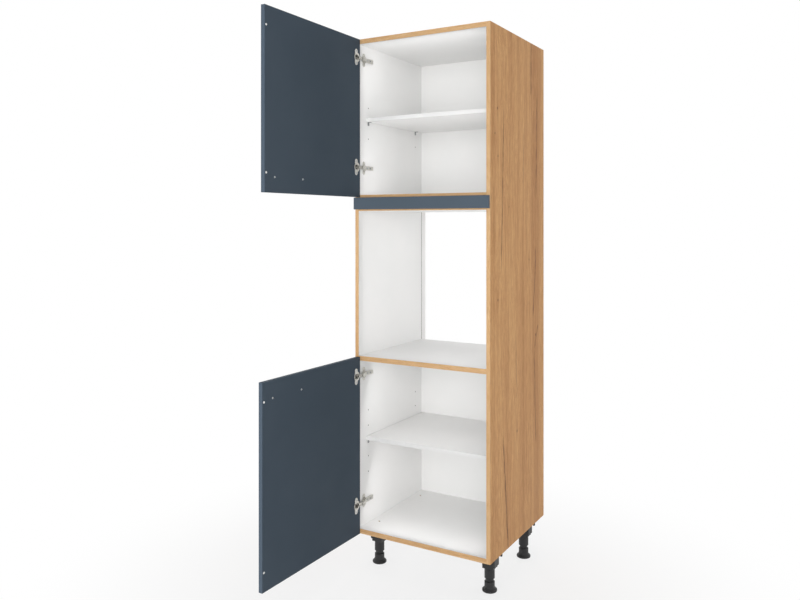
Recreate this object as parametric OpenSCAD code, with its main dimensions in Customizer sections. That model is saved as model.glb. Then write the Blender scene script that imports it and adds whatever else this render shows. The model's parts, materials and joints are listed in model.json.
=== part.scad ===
// Tall oven housing: carcass with an open appliance niche between two cupboards,
// two doors on concealed link hinges, a fascia strip and four height-adjustable feet.
// +X is the unit's right, +Y runs to the back, +Z is up.
// The origin is on the floor, under the middle of the carcass front.

/* [Carcass] */
// Width over both side panels
unit_w = 600; // [560:1:700]
// Depth of the carcass without the doors
carcass_d = 568; // [500:1:640]
// Thickness of the side panels
side_t = 16; // [15:0.5:19]
// Thickness of the fixed horizontal panels
panel_t = 19; // [18:0.5:22]
// Clear height of the lower cupboard
lower_clear_h = 686; // [600:1:760]
// Clear height of the appliance niche
niche_h = 592; // [560:1:640]
// Clear gap between the niche top and the upper cupboard floor
service_gap = 27; // [24:1:40]
// Clear height of the upper cupboard
upper_clear_h = 616; // [560:1:760]
// Thickness of the band on each front edge
edge_band_t = 0.8; // [0.5:0.1:1.5]
// Thickness of the back panels
back_t = 3; // [2.5:0.5:5]
// Distance from the rear edge of the sides to the back panel's front face
back_inset = 38; // [20:1:60]
// Depth of the back panel groove in each side
groove_depth = 8; // [5:0.5:9]
// Clearance of the back panel in its groove, each way
groove_clearance = 0.2; // [0.1:0.1:0.4]

/* [Shelves] */
// Thickness of a loose shelf
shelf_t = 16; // [15:0.5:19]
// Setback of a shelf's front edge from the carcass front
shelf_front_inset = 57; // [40:1:66]
// Gap at each end of a shelf and behind it
shelf_gap = 1; // [0.5:0.1:2]
// Setback of the front column of support holes
support_row_front = 73; // [70:1:80]
// Distance from the back panel to the rear column of support holes
support_row_rear = 59; // [40:1:80]
// Vertical pitch of the support holes
support_pitch = 64; // [48:1:80]
// Height of the upper shelf's support holes above the upper cupboard floor
upper_support_h = 299; // [280:1:330]
// Height of the lower shelf's support holes above the bottom panel
lower_support_h = 341; // [320:1:360]
// Free hole positions above and below the upper shelf's holes
upper_spare_rows = 1; // [1:1:2]
// Free hole positions above and below the lower shelf's holes
lower_spare_rows = 2; // [1:1:3]
// Radius of a support peg
support_peg_r = 2.4; // [2:0.1:3]
// Radial clearance of a support peg in its hole
support_clearance = 0.1; // [0.05:0.05:0.3]
// Depth of a support hole
support_hole_depth = 11; // [8:0.5:12]
// Height of the support's flange above its peg
support_rise = 6; // [5:0.5:8]
// Length of the support's wall leg below its peg
support_drop = 9; // [6:0.5:12]
// Width of a shelf support
support_w = 10; // [8:0.5:14]
// Reach of a support's flange under the shelf
support_reach = 13; // [10:0.5:16]
// Metal thickness of a shelf support
support_t = 1.5; // [1:0.1:2]

/* [Doors and fascia strip] */
// Thickness of the doors and the fascia strip
door_t = 16; // [16:0.5:19]
// Reveal between a door's side edge and the carcass side
door_side_reveal = 2; // [1.5:0.1:3]
// Stand-off of a closed door from the carcass front
door_stand_off = 2; // [1.8:0.1:3]
// Reveal above the upper door
upper_door_top_reveal = 2; // [1:0.5:6]
// Gap between the fascia strip and the upper door
upper_door_bottom_gap = 2; // [1:0.5:6]
// Height of the lower door's bottom edge above the carcass underside
lower_door_bottom_reveal = 1; // [0:0.5:6]
// Depth that the lower door's top edge stays below the niche floor
lower_door_top_reveal = 3; // [1:0.5:12]
// Angle at which the upper door stands open
upper_door_angle = 89.5; // [80:0.5:92]
// Angle at which the lower door stands open
lower_door_angle = 90.5; // [80:0.5:92]
// Height of the fascia strip
strip_h = 48; // [44:1:60]
// Width of niche top edge left visible under the fascia strip
strip_drop = 6; // [3:0.5:10]
// Radius of a door bumper
bumper_r = 4; // [3:0.25:5]
// Clearance left between a bumper and the carcass when the door is shut
bumper_clearance = 0.3; // [0.2:0.1:0.5]
// Distance of the bumpers from the door's free edge
bumper_inset = 8; // [6:0.5:10]
// Distance of the bumpers from the door's top and bottom edges
bumper_end_inset = 68; // [50:1:90]

/* [Handles] */
// Hole spacing of a handle
handle_spacing = 160; // [96:32:192]
// Distance from a door's free edge to the handle's first hole
handle_edge_inset = 54; // [40:1:80]
// Height of the upper door's handle above the door's bottom edge
upper_handle_inset = 54; // [40:1:80]
// Depth of the lower door's handle below the door's top edge
lower_handle_inset = 62; // [40:1:80]
// Rise of the handle bow over its feet
handle_rise = 22; // [16:1:30]
// Width of the bow's section
handle_section_w = 10; // [8:0.5:14]
// Thickness of the bow's section
handle_section_t = 6; // [5:0.5:8]
// Radius of a handle foot
handle_foot_r = 6.5; // [6:0.5:8]
// Height of a handle foot
handle_foot_h = 9; // [8:0.5:12]
// Radius of a handle screw's shank
handle_screw_r = 2; // [1.75:0.25:2.5]
// Radius of a handle screw's head
handle_screw_head_r = 3.6; // [3.4:0.1:4.5]

/* [Hinges] */
// Depth of the upper hinge of each door below the door's top edge
hinge_top_inset = 76; // [70:1:110]
// Height of the lower hinge of each door above the door's bottom edge
hinge_bottom_inset = 121; // [100:1:140]
// Distance of the cup's centre inside the side panel's inner face
cup_inset = 8.5; // [8.5:0.1:9]
// Radius of the hinge cup
cup_r = 17.3; // [17:0.1:17.5]
// Radial clearance of the cup in the door's bore
cup_clearance = 0.2; // [0.1:0.1:0.4]
// Depth of the hinge cup
cup_depth = 13; // [12.9:0.1:13.2]
// Thickness of the cup's floor
cup_floor_t = 0.6; // [0.5:0.1:0.7]
// Half height of the pocket in the cup
cup_pocket_half_h = 6.4; // [6.3:0.1:7]
// Half height of the wider well behind the cup's pivots
cup_well_half_h = 10; // [8:0.5:10]
// Thickness of the cup's flange
cup_flange_t = 1.3; // [1:0.1:1.4]
// Overall height of the cup's flange
cup_flange_h = 66; // [60:0.5:68]
// Width of the flange's ears
cup_ear_w = 19; // [14:0.5:20]
// Spacing of the two cup screws
cup_screw_spacing = 48; // [45:0.5:52]
// Distance of the cup screws from the cup's centre, away from the door edge
cup_screw_offset = 6; // [5.5:0.5:9.5]
// Distance of the outer link's cup pivot from the cup's centre, towards the door edge
outer_cup_pivot_x = 11.9; // [11.7:0.1:12]
// Depth of the outer link's cup pivot in the cup
outer_cup_pivot_depth = 2.6; // [2.5:0.1:2.8]
// Distance of the inner link's cup pivot from the cup's centre, towards the door edge
inner_cup_pivot_x = 12.8; // [12.6:0.1:12.9]
// Depth of the inner link's cup pivot in the cup
inner_cup_pivot_depth = 8.9; // [8.7:0.1:9]
// Distance of the open door's inner face inside the side panel's inner face
open_face_inset = 9.5; // [9.3:0.1:9.8]
// Distance of the open door's hinge edge in front of the carcass
open_edge_stand_off = 4.5; // [4.3:0.1:4.8]
// Length of the outer link between its pivots
outer_link_len = 24.5; // [24:0.25:26]
// Length of the inner link between its pivots
inner_link_len = 34; // [33:0.25:35]
// Thickness of one cheek of the outer link
outer_cheek_t = 1.4; // [1:0.1:1.6]
// Half thickness of the inner link
inner_link_half_t = 3.9; // [3:0.1:4]
// Width of the outer link between its eyes
outer_link_w = 3.2; // [2.6:0.1:3.4]
// Width of the inner link between its eyes
inner_link_w = 2.4; // [2:0.1:2.6]
// Outer radius of a link's eye
link_eye_r = 2.6; // [2.3:0.1:2.8]
// Outer radius of the inner link's end in the cup
inner_tip_r = 2.1; // [1.9:0.1:2.2]
// Radius of a hinge pin
hinge_pin_r = 1.3; // [1:0.1:1.5]
// Radial running clearance of a hinge pin
hinge_pin_clearance = 0.05; // [0.02:0.01:0.1]
// Side clearance between neighbouring hinge layers
hinge_layer_gap = 0.5; // [0.4:0.1:0.6]
// Wall thickness of the pressed hinge arm
arm_wall_t = 1.4; // [1.2:0.1:1.6]
// Setback of the hinge arm's rear end from the carcass front
arm_rear_y = 94; // [92:1:100]
// Setback of the mounting plate's screw line from the carcass front
plate_line_y = 37; // [35:0.5:40]
// Overall height of the mounting plate's wings
plate_wing_h = 54; // [50:1:60]
// Width of the mounting plate's wings
plate_wing_w = 16; // [12:0.5:17]
// Thickness of the mounting plate's wings
plate_wing_t = 2; // [1.5:0.1:2.5]
// Spacing of the two mounting plate screws
plate_screw_spacing = 32; // [30:0.5:34]
// Length of the mounting plate's rail
plate_rail_len = 66; // [60:1:66]
// Height of the mounting plate's rail over the side panel
plate_rail_h = 9; // [8:0.5:9.5]

/* [Feet] */
// Height of the carcass underside over the floor
foot_h = 150; // [150:1:170]
// Distance of a foot's axis from the outer face of the side
foot_side_inset = 50; // [46:1:60]
// Distance of a foot's axis from the carcass front or rear edge
foot_end_inset = 107; // [90:1:130]
// Radius of the foot's sleeve and lower tube
foot_tube_r = 20; // [18:0.5:22]
// Radius of the foot's stem inside the sleeve
foot_stem_r = 15; // [13:0.5:15.5]
// Radial running clearance of the stem in the sleeve
foot_stem_clearance = 0.1; // [0.05:0.01:0.1]
// Length of the fixed sleeve below the carcass underside
foot_sleeve_len = 101; // [88:1:101]
// Height of the lower tube's rim over the floor
foot_rim_h = 39; // [35:1:39]
// Radius of the sole
foot_sole_r = 29; // [26:0.5:32]
// Height of the sole's straight edge
foot_sole_edge_h = 9; // [8:0.5:9.5]
// Height over the floor at which the flare meets the lower tube
foot_flare_h = 20; // [18:0.5:22]
// Length of the stem over the lower tube's rim
foot_stem_len = 70; // [60:1:85]
// Reach of the mounting plate towards the outer face of the side
foot_plate_out = 34; // [30:1:38]
// Reach of the mounting plate towards the inside of the unit
foot_plate_in = 26; // [24:1:30]
// Half length of the mounting plate, front to back
foot_plate_half_l = 31; // [30:1:36]
// Thickness of the mounting plate
foot_plate_t = 5; // [4:0.5:7]
// Depth of the socket block under the carcass
foot_block_h = 60; // [50:1:64]
// Radius of the access holes over the feet
access_hole_r = 5; // [4:0.5:6]

/* [Fittings] */
// Radius of a dowel
dowel_r = 4; // [3:0.5:5]
// Length of a dowel in the horizontal panel
dowel_panel_len = 20; // [16:1:26]
// Length of a dowel in the side panel
dowel_side_len = 10; // [8:0.5:12]
// Radius of a cam
cam_r = 7.4; // [6:0.1:7.8]
// Depth of a cam
cam_depth = 13; // [12:0.5:14]
// Distance of a cam's axis from the panel's end
cam_axis_inset = 24; // [20:1:34]
// Radius of a cam bolt's shank
cam_bolt_r = 3; // [2.5:0.25:3.5]
// Radius of a cam bolt's head
cam_bolt_head_r = 3.6; // [3.5:0.1:4]
// Clearance of dowels, cams, bolts and screws in their holes
fitting_clearance = 0.1; // [0.05:0.05:0.2]
// Setback of the front cams from the carcass front
cam_front_y = 64; // [56:1:84]
// Distance of the rear cams from the back panel
cam_rear_inset = 110; // [100:1:120]
// Distance from each cam to its neighbouring dowel
dowel_offset = 32; // [24:1:48]

/* [Hidden] */
$fn = 64;

WHITE = [0.90, 0.90, 0.90];
OAK = [0.75, 0.58, 0.40];
SLATE = [0.30, 0.34, 0.38];
NICKEL = [0.68, 0.68, 0.66];
ZINC = [0.78, 0.78, 0.76];
BLACK = [0.12, 0.12, 0.12];
BEECH = [0.82, 0.68, 0.50];

// Cutters run past a face by this much
over = 1;
half_w = unit_w / 2;
inner_half_w = half_w - side_t;
left_face = -inner_half_w;
back_y = carcass_d - back_inset;

// Heights of the panels, from the floor up
bottom_z = foot_h;
lower_z = bottom_z + panel_t;
niche_floor_z = lower_z + lower_clear_h;
niche_z = niche_floor_z + panel_t;
niche_top_z = niche_z + niche_h;
gap_z = niche_top_z + panel_t;
upper_floor_z = gap_z + service_gap;
upper_z = upper_floor_z + panel_t;
top_z = upper_z + upper_clear_h;
carcass_top_z = top_z + panel_t;
carcass_h = carcass_top_z - bottom_z;
panel_zs = [bottom_z, niche_floor_z, niche_top_z, upper_floor_z, top_z];

// Shelves
support_front_y = support_row_front;
support_rear_y = back_y - support_row_rear;
upper_support_z = upper_z + upper_support_h;
lower_support_z = lower_z + lower_support_h;
support_hole_r = support_peg_r + support_clearance;
shelf_d = back_y - shelf_gap - shelf_front_inset;
shelf_w = 2 * (inner_half_w - shelf_gap);

// Fascia strip and doors, in the closed position
strip_z = niche_top_z + strip_drop;
front_w = unit_w - 2 * door_side_reveal;
door_left = -front_w / 2;
door_inner_y = -door_stand_off;
upper_door_z = strip_z + strip_h + upper_door_bottom_gap;
upper_door_h = carcass_top_z - upper_door_top_reveal - upper_door_z;
lower_door_z = bottom_z + lower_door_bottom_reveal;
lower_door_h = niche_z - lower_door_top_reveal - lower_door_z;
bumper_t = door_stand_off - bumper_clearance;
bumper_x = door_left + front_w - bumper_inset;
upper_hinge_zs = [
  upper_door_z + hinge_bottom_inset,
  upper_door_z + upper_door_h - hinge_top_inset
];
lower_hinge_zs = [
  lower_door_z + hinge_bottom_inset,
  lower_door_z + lower_door_h - hinge_top_inset
];
hinge_zs = concat(upper_hinge_zs, lower_hinge_zs);

// Handles
handle_x1 = door_left + front_w - handle_edge_inset;
handle_x0 = handle_x1 - handle_spacing;
upper_handle_z = upper_door_z + upper_handle_inset;
lower_handle_z = lower_door_z + lower_door_h - lower_handle_inset;
handle_hole_r = handle_screw_r + 2 * fitting_clearance;
handle_screw_grip = 7;

// Link hinge, seen from above. A door turned by 90 degrees carries each cup pivot
// from its closed to its open place. A link's fixed pivot is equally far from both,
// so it lies on their perpendicular bisector, at the distance that the link's length gives.
full_turn = 90;
closed_corner = [door_left, door_inner_y];
open_corner = [left_face + open_face_inset, -open_edge_stand_off];
function quarter(v) = [v.y, -v.x];
function open_place(p) = open_corner + quarter(p - closed_corner);
function bisector(p, q) = quarter((q - p) / norm(q - p));
function fixed_pivot(p, q, len) =
  (p + q) / 2 - bisector(p, q) * sqrt(len * len - norm(q - p) * norm(q - p) / 4);
function heading(v) = atan2(v.y, v.x);
function ray(a, len) = len * [cos(a), sin(a)];

cup_centre = [left_face + cup_inset, door_inner_y];
outer_cup_closed = cup_centre + [-outer_cup_pivot_x, -outer_cup_pivot_depth];
inner_cup_closed = cup_centre + [-inner_cup_pivot_x, -inner_cup_pivot_depth];
outer_cup_open = open_place(outer_cup_closed);
inner_cup_open = open_place(inner_cup_closed);
outer_arm_pivot = fixed_pivot(outer_cup_closed, outer_cup_open, outer_link_len);
inner_arm_pivot = fixed_pivot(inner_cup_closed, inner_cup_open, inner_link_len);
outer_shut_a = heading(outer_cup_closed - outer_arm_pivot);
outer_swing = heading(outer_cup_open - outer_arm_pivot) - outer_shut_a;
inner_shut_a = heading(inner_cup_closed - inner_arm_pivot);
inner_swing = heading(inner_cup_open - inner_arm_pivot) - inner_shut_a;

// Link headings from their arm pivots, and cup pivot places, with a door open by an angle
function outer_a(open) = outer_shut_a + outer_swing * open / full_turn;
function inner_a(open) = inner_shut_a + inner_swing * open / full_turn;
function outer_tip(open) = outer_arm_pivot + ray(outer_a(open), outer_link_len);
function inner_tip(open) = inner_arm_pivot + ray(inner_a(open), inner_link_len);

// Goose necks: each link's bend, measured from its cup pivot along and across the link
outer_neck = [4, 4.5];
inner_neck = [6, 9.5];

// Hinge layers, measured from the hinge's middle height
outer_cheek_z0 = inner_link_half_t + hinge_layer_gap;
outer_cheek_z1 = outer_cheek_z0 + outer_cheek_t;
arm_cheek_z0 = outer_cheek_z1 + hinge_layer_gap;
arm_half_h = arm_cheek_z0 + arm_wall_t;
pin_bore_r = hinge_pin_r + hinge_pin_clearance;
cup_pin_end_z = 10;
open_pin_z0 = outer_cheek_z1 + hinge_layer_gap / 2;
cup_bore_r = cup_r + cup_clearance;
cup_bore_depth = cup_depth + cup_clearance;
cup_screw_r = 2;
cup_screw_head_r = 4;
cup_screw_len = 11;
plate_screw_r = 2.5;
plate_screw_head_r = 4;
plate_screw_len = 12;
arm_screw_r = 2.5;
arm_screw_head_r = 3.8;
arm_clear = 0.4;
plate_rail_y0 = 24;
arm_fix_y = 71;
arm_adjust_y = 50;
// The fixing screw has a deep socket in a wide head
arm_fix_screw_r = 3.3;
arm_fix_head_r = 4.4;
arm_fix_socket_r = 2.6;
arm_fix_socket_depth = 4;
arm_screw_depth = 6;
arm_screw_head_t = 1.6;
// Raised sides of the mounting plate beside the arm
saddle_half_l = 8;
saddle_rise = 7;
saddle_half_h = 10.6;
// The well in the cup runs between these distances from the cup's centre
cup_well_x0 = -7;
cup_well_x1 = 12;
// Boss at the outer rear corner of a foot's mounting plate
foot_boss_r = 5;
foot_boss_y = 45;
foot_boss_drop = 27;

// Feet
foot_x = half_w - foot_side_inset;
foot_front_y = foot_end_inset;
foot_rear_y = carcass_d - foot_end_inset;
sleeve_z = bottom_z - foot_sleeve_len;
stem_bore_r = foot_stem_r + foot_stem_clearance;
socket_screw_r = 1.9;
socket_screw_head_r = 4;
socket_screw_len = 14;
socket_screw_head_t = 2;
// A screw's hole runs past its tip by this much
socket_screw_spare = 4;
socket_wall_t = 3;
socket_rim_w = 4;
socket_step_h = 10;
socket_step_in = 1;
socket_rib_half_t = 3;
socket_rib_rise = 18;
foot_rim_r = 2;
clip_screw_x = 6;
clip_screw_rise = 36;
clip_screw_r = 2;

cam_rear_y = back_y - cam_rear_inset;

// A plain board from two corners
module board(p, q) {
  translate(p) cube(q - p);
}

// A drill along X into the inner face of the left (-1) or right (1) side
module side_drill(side, y, z, r, depth) {
  translate([side * (inner_half_w - over), y, z])
    rotate([0, side * 90, 0]) cylinder(r = r, h = depth + over);
}

// ---------- carcass ----------

module support_holes(side) {
  for (y = [support_front_y, support_rear_y]) {
    for (i = [-upper_spare_rows : upper_spare_rows])
      side_drill(side, y, upper_support_z + i * support_pitch, support_hole_r, support_hole_depth);
    for (i = [-lower_spare_rows : lower_spare_rows])
      side_drill(side, y, lower_support_z + i * support_pitch, support_hole_r, support_hole_depth);
  }
}

module fitting_holes(side) {
  for (z = panel_zs) {
    for (y = [cam_front_y, cam_rear_y])
      side_drill(side, y, z + panel_t / 2, cam_bolt_r - 0.5 + fitting_clearance, dowel_side_len + 1);
    for (y = [cam_front_y + dowel_offset, cam_rear_y - dowel_offset])
      side_drill(side, y, z + panel_t / 2, dowel_r + fitting_clearance, dowel_side_len + fitting_clearance);
  }
}

module side_panel(side) {
  x0 = side < 0 ? -half_w : inner_half_w;
  groove_x = side * (inner_half_w + groove_depth / 2 + groove_clearance / 2 - over / 2);
  groove_w = groove_depth + groove_clearance + over;
  difference() {
    board([x0, edge_band_t, bottom_z], [x0 + side_t, carcass_d, carcass_top_z]);
    translate([groove_x - groove_w / 2, back_y - groove_clearance, bottom_z - over])
      cube([groove_w, back_t + 2 * groove_clearance, carcass_h + 2 * over]);
    support_holes(side);
    fitting_holes(side);
    if (side < 0)
      for (z = hinge_zs, i = [-1, 1])
        side_drill(side, plate_line_y, z + i * plate_screw_spacing / 2,
                   plate_screw_r + fitting_clearance, plate_screw_len);
  }
}

module left_side() {
  color(OAK) side_panel(-1);
}

module right_side() {
  color(OAK) side_panel(1);
}

// A fixed panel: bored at both ends for cams, cam bolts and dowels.
// The cams go in from below (-1) or from above (1), on the face that stays hidden.
module fixed_panel(z, cam_face, backed = true) {
  mid_z = z + panel_t / 2;
  cam_z = cam_face < 0 ? z - over : z + panel_t - cam_depth;
  difference() {
    board([-inner_half_w, edge_band_t, z], [inner_half_w, back_y, z + panel_t]);
    for (side = [-1, 1]) {
      for (y = [cam_front_y, cam_rear_y]) {
        translate([side * (inner_half_w - cam_axis_inset), y, cam_z])
          cylinder(r = cam_r + fitting_clearance, h = cam_depth + over);
        translate([side * (inner_half_w - cam_axis_inset), y, mid_z])
          rotate([0, side * 90, 0])
            cylinder(r = cam_bolt_head_r + fitting_clearance, h = cam_axis_inset + over);
      }
      for (y = [cam_front_y + dowel_offset, cam_rear_y - dowel_offset])
        translate([side * (inner_half_w - dowel_panel_len - fitting_clearance), y, mid_z])
          rotate([0, side * 90, 0])
            cylinder(r = dowel_r + fitting_clearance, h = dowel_panel_len + over);
    }
    if (backed)
      for (x = back_screw_xs)
        translate([x, back_y + over, mid_z]) rotate([90, 0, 0])
          cylinder(r = back_screw_r + fitting_clearance, h = back_screw_len - back_t + 2 * over);
  }
}

module top_panel() {
  color(WHITE) fixed_panel(top_z, 1);
}

module upper_floor() {
  color(WHITE) fixed_panel(upper_floor_z, -1);
}

module niche_top() {
  color(WHITE) difference() {
    fixed_panel(niche_top_z, 1, false);
    for (x = bracket_xs)
      translate([x, bracket_leg / 2 + bracket_t, niche_top_z + panel_t - bracket_screw_len])
        cylinder(r = bracket_screw_r + fitting_clearance, h = bracket_screw_len + over);
  }
}

module niche_floor() {
  color(WHITE) fixed_panel(niche_floor_z, -1);
}

module bottom_panel() {
  color(WHITE) difference() {
    fixed_panel(bottom_z, -1);
    for (x = [-foot_x, foot_x], y = [foot_front_y, foot_rear_y]) {
      translate([x, y, bottom_z - over]) cylinder(r = access_hole_r, h = panel_t + 2 * over);
      for (sx = [-1, 1], sy = [-1, 1])
        translate([x, y, 0])
          translate([socket_screw_x(x, sx), sy * socket_screw_y, bottom_z - over])
            cylinder(r = socket_screw_r + fitting_clearance, h = socket_screw_len);
    }
  }
}

module side_edging() {
  color(OAK) for (x = [-half_w, inner_half_w])
    board([x, 0, bottom_z], [x + side_t, edge_band_t, carcass_top_z]);
}

module panel_edging() {
  color(OAK) for (z = panel_zs)
    board([-inner_half_w, 0, z], [inner_half_w, edge_band_t, z + panel_t]);
}

// Back panels stand in the side grooves, behind the fixed panels
back_half_w = inner_half_w + groove_depth;
back_lap = 2;

module back_panel(z0, z1) {
  difference() {
    board([-back_half_w, back_y, z0], [back_half_w, back_y + back_t, z1]);
    for (x = back_screw_xs, z = [z0 + back_screw_inset, z1 - back_screw_inset])
      translate([x, back_y - over, z]) rotate([-90, 0, 0])
        cylinder(r = back_screw_r + fitting_clearance, h = back_t + 2 * over);
  }
}

back_screw_r = 1.5;
back_screw_len = 15;
back_screw_head_r = 3.2;
back_screw_inset = panel_t / 2 - back_lap;
back_screw_xs = [-0.8, 0, 0.8] * inner_half_w;

module upper_back() {
  color(WHITE) back_panel(upper_floor_z + back_lap, carcass_top_z - back_lap);
}

module lower_back() {
  color(WHITE) back_panel(bottom_z + back_lap, niche_z - back_lap);
}

// Screws through the back panels into the rear edges of the fixed panels
module back_screws() {
  zs = [bottom_z, niche_floor_z, upper_floor_z, top_z];
  color(ZINC) for (x = back_screw_xs, z = zs)
    translate([x, back_y + back_t, z + panel_t / 2]) rotate([90, 0, 0]) {
      translate([0, 0, -1.2]) cylinder(r = back_screw_head_r, h = 1.2);
      cylinder(r = back_screw_r, h = back_screw_len);
    }
}

// ---------- shelves ----------

module shelf(z) {
  board([-shelf_w / 2, shelf_front_inset, z], [shelf_w / 2, shelf_front_inset + shelf_d, z + shelf_t]);
}

module upper_shelf() {
  color(WHITE) shelf(upper_support_z + support_rise);
}

module lower_shelf() {
  color(WHITE) shelf(lower_support_z + support_rise);
}

// Angle support: a peg in the side, a leg on the wall and a flange under the shelf
module shelf_support(side, y, z) {
  translate([side * inner_half_w, y, z]) mirror([side > 0 ? 1 : 0, 0, 0]) {
    rotate([0, -90, 0]) cylinder(r = support_peg_r, h = support_hole_depth - 1);
    translate([0, -support_w / 2, -support_drop])
      cube([support_t, support_w, support_drop + support_rise]);
    translate([0, -support_w / 2, support_rise - support_t])
      cube([support_reach, support_w, support_t]);
  }
}

module shelf_supports(z) {
  for (side = [-1, 1], y = [support_front_y, support_rear_y]) shelf_support(side, y, z);
}

module upper_shelf_supports() {
  color(NICKEL) shelf_supports(upper_support_z);
}

module lower_shelf_supports() {
  color(NICKEL) shelf_supports(lower_support_z);
}

// ---------- fascia strip ----------

bracket_t = 2;
bracket_leg = 24;
bracket_w = 20;
bracket_screw_r = 1.75;
bracket_screw_head_r = 3.5;
bracket_screw_len = 12;
bracket_xs = [-0.7, 0, 0.7] * inner_half_w;
bracket_z = gap_z + bracket_leg / 2;

module fascia_strip() {
  color(SLATE) difference() {
    board([-front_w / 2, -door_t, strip_z], [front_w / 2, 0, strip_z + strip_h]);
    for (x = bracket_xs)
      translate([x, over, bracket_z]) rotate([90, 0, 0])
        cylinder(r = bracket_screw_r + fitting_clearance, h = bracket_screw_len + over - bracket_t);
  }
}

// Angle brackets in the gap between the two middle panels hold the strip from behind
module fascia_brackets() {
  color(ZINC) for (x = bracket_xs)
    difference() {
      union() {
        board([x - bracket_w / 2, 0, gap_z], [x + bracket_w / 2, bracket_t, gap_z + bracket_leg]);
        board([x - bracket_w / 2, 0, gap_z], [x + bracket_w / 2, bracket_leg, gap_z + bracket_t]);
      }
      translate([x, -over, bracket_z]) rotate([-90, 0, 0])
        cylinder(r = bracket_screw_r + fitting_clearance, h = bracket_t + 2 * over);
      translate([x, bracket_leg / 2 + bracket_t, gap_z - over])
        cylinder(r = bracket_screw_r + fitting_clearance, h = bracket_t + 2 * over);
    }
}

module bracket_screw() {
  cylinder(r = bracket_screw_head_r, h = 1.6);
  translate([0, 0, -bracket_screw_len + over]) cylinder(r = bracket_screw_r, h = bracket_screw_len - over);
}

module fascia_screws() {
  color(ZINC) for (x = bracket_xs) {
    translate([x, bracket_t, bracket_z]) rotate([-90, 0, 0]) bracket_screw();
    translate([x, bracket_leg / 2 + bracket_t, gap_z + bracket_t]) bracket_screw();
  }
}

// ---------- hidden fittings ----------

module at_fittings(ys) {
  for (z = panel_zs, side = [-1, 1], y = ys)
    translate([side * inner_half_w, y, z + panel_t / 2]) mirror([side > 0 ? 1 : 0, 0, 0]) children();
}

module dowels() {
  color(BEECH) at_fittings([cam_front_y + dowel_offset, cam_rear_y - dowel_offset])
    translate([-dowel_side_len, 0, 0]) rotate([0, 90, 0])
      cylinder(r = dowel_r, h = dowel_side_len + dowel_panel_len);
}

// Cams clasp the bolt heads: a slot from the side takes the neck, a wider one the head
module cam(face) {
  rim_z = face < 0 ? -panel_t / 2 : panel_t / 2 - cam_depth;
  mouth = 2 * (cam_bolt_r - 0.8 + fitting_clearance);
  head = 2 * (cam_bolt_head_r + fitting_clearance);
  difference() {
    translate([cam_axis_inset, 0, rim_z]) cylinder(r = cam_r, h = cam_depth);
    translate([cam_axis_inset - cam_r - over, -mouth / 2, -mouth / 2])
      cube([cam_r + over, mouth, mouth]);
    translate([cam_axis_inset - 4, 0, 0]) rotate([0, 90, 0]) cylinder(d = head, h = 7);
    translate([cam_axis_inset - 4, -0.6, face < 0 ? rim_z - over : rim_z + cam_depth - 2])
      cube([8, 1.2, 2 + over]);
  }
}

module cams() {
  color(ZINC) for (z = panel_zs, side = [-1, 1], y = [cam_front_y, cam_rear_y])
    translate([side * inner_half_w, y, z + panel_t / 2]) mirror([side > 0 ? 1 : 0, 0, 0])
      cam(z == top_z || z == niche_top_z ? 1 : -1);
}

module cam_bolts() {
  color(ZINC) at_fittings([cam_front_y, cam_rear_y]) rotate([0, 90, 0]) {
    translate([0, 0, -dowel_side_len]) cylinder(r = cam_bolt_r - 0.5, h = dowel_side_len);
    cylinder(r = cam_bolt_r, h = cam_axis_inset - cam_r - 0.5);
    cylinder(r = cam_bolt_r - 0.8, h = cam_axis_inset - 2);
    translate([0, 0, cam_axis_inset - 3.5]) cylinder(r = cam_bolt_head_r, h = 3);
  }
}

// ---------- feet ----------

socket_screw_y = foot_plate_half_l - 6;
function socket_screw_x(x, sx) =
  (x > 0 ? 1 : -1) * (sx > 0 ? foot_plate_out - 18 : -foot_plate_in + 6);

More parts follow.
